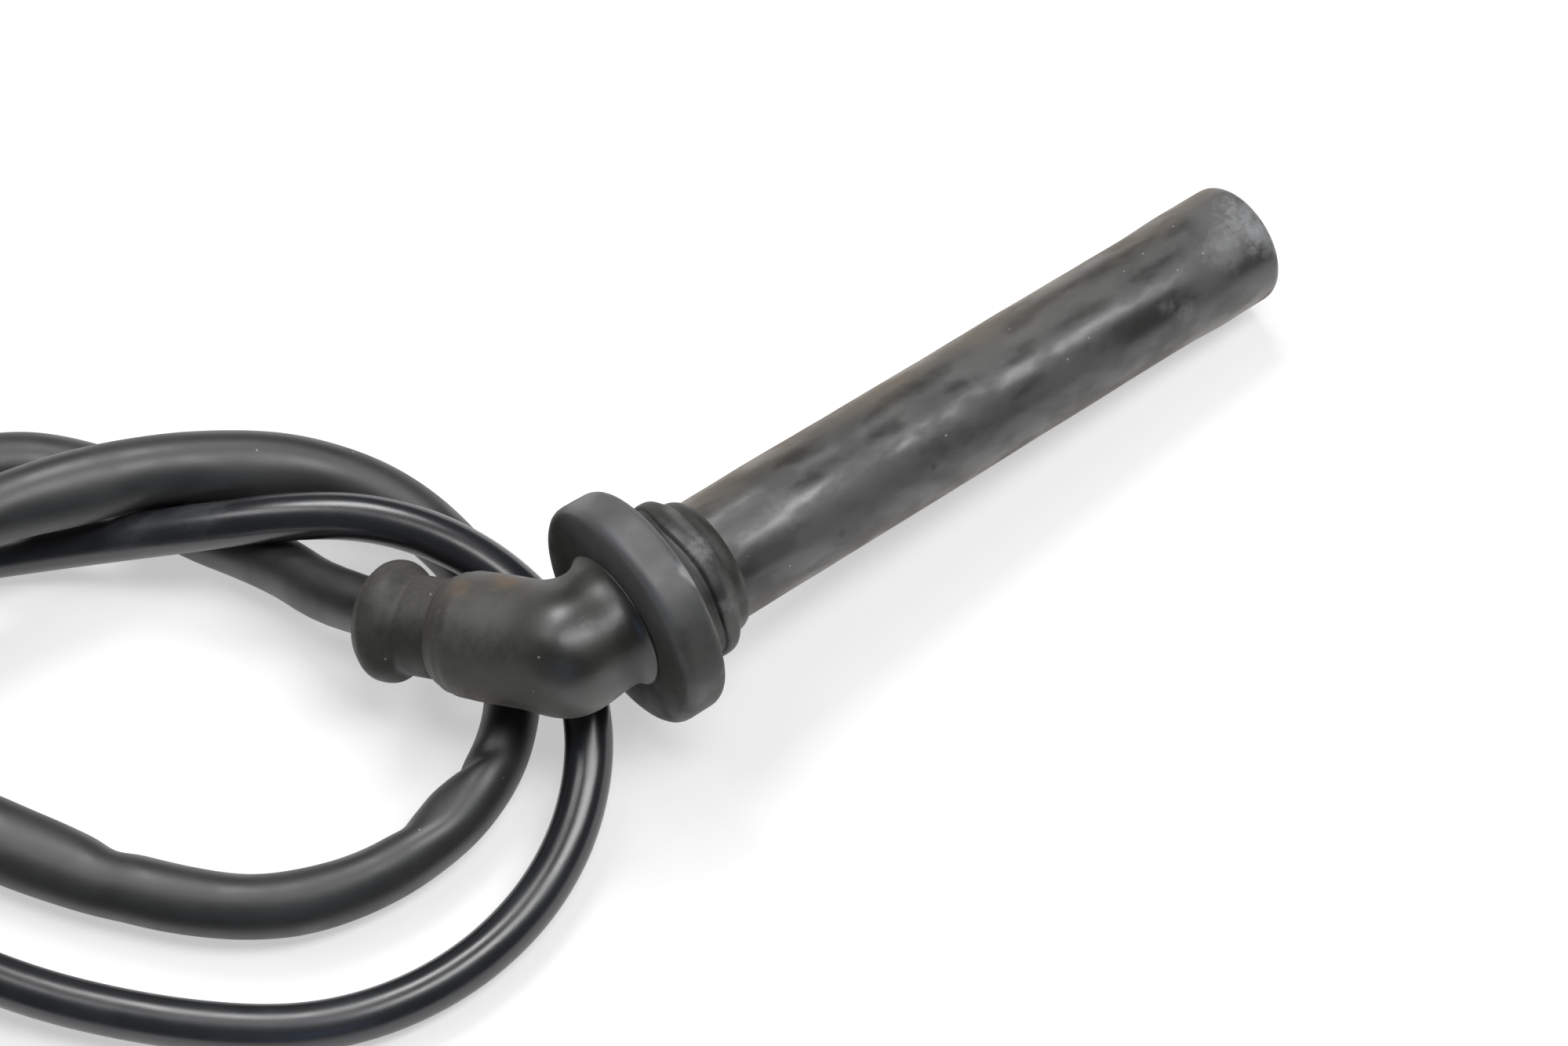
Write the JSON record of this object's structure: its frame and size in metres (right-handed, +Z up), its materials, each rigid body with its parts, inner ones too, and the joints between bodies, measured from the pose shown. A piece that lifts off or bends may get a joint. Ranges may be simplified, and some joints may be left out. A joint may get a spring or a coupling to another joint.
{
  "type": "spark plug cap with ignition lead",
  "caption": "Long-reach elbowed spark plug cap: rubber stem with well seal, wire seal, resistor and brass contacts inside, and a loosely coiled, part-sleeved high-tension lead ending in a boot",
  "frame": {"origin": "centre of the plug boot's open mouth, at the end of the stem", "axes": "+Z up from the bench the object lies on, +X the level direction of the stem towards its open mouth; the stem dips 6.3 degrees below +X"},
  "size_m": [0.2979, 0.1244, 0.0399],
  "materials": {
    "stem_rubber": "satin, dusty, lightly mottled",
    "elbow_rubber": "matte, brownish dust",
    "seal_rubber": "matte",
    "lead_jacket": "smooth, glossy",
    "sleeve_vinyl": "soft satin, creased",
    "insulator": "moulded phenolic",
    "ceramic": "unglazed",
    "brass": "turned",
    "copper": "stranded core",
    "plated_steel": "pressed, plated",
    "spring_steel": "drawn wire"
  },
  "bodies": {
    "cap": {"stem_boot": "stem_rubber", "core_tube": "insulator", "plug_socket": "brass", "socket_clip": "spring_steel", "retainer_screw": "brass", "resistor_body": "ceramic", "resistor_cap_front": "plated_steel", "resistor_cap_rear": "plated_steel", "contact_spring": "spring_steel", "contact_rod": "brass", "elbow_core": "insulator", "elbow_cover": "elbow_rubber", "lead_run": "lead_jacket", "lead_coil": "lead_jacket", "lead_tail": "lead_jacket", "conductor_cap_end": "copper", "conductor_coil_end": "copper", "sleeve_run": "sleeve_vinyl", "sleeve_coil": "sleeve_vinyl", "coil_boot": "seal_rubber", "coil_terminal": "brass"},
    "well_seal_ring": {"well_seal": "seal_rubber"},
    "wire_seal_ring": {"wire_seal": "elbow_rubber"}
  },
  "joints": [
    {"name": "well_seal_slide", "type": "slide", "parent": "cap", "child": "well_seal_ring", "axis": [0.994, 0, -0.1097], "range_m": [0, 0.02]},
    {"name": "wire_seal_slide", "type": "slide", "parent": "cap", "child": "wire_seal_ring", "axis": [-0.5334, 0.8001, -0.2745], "range_m": [0, 0.003]}
  ]
}
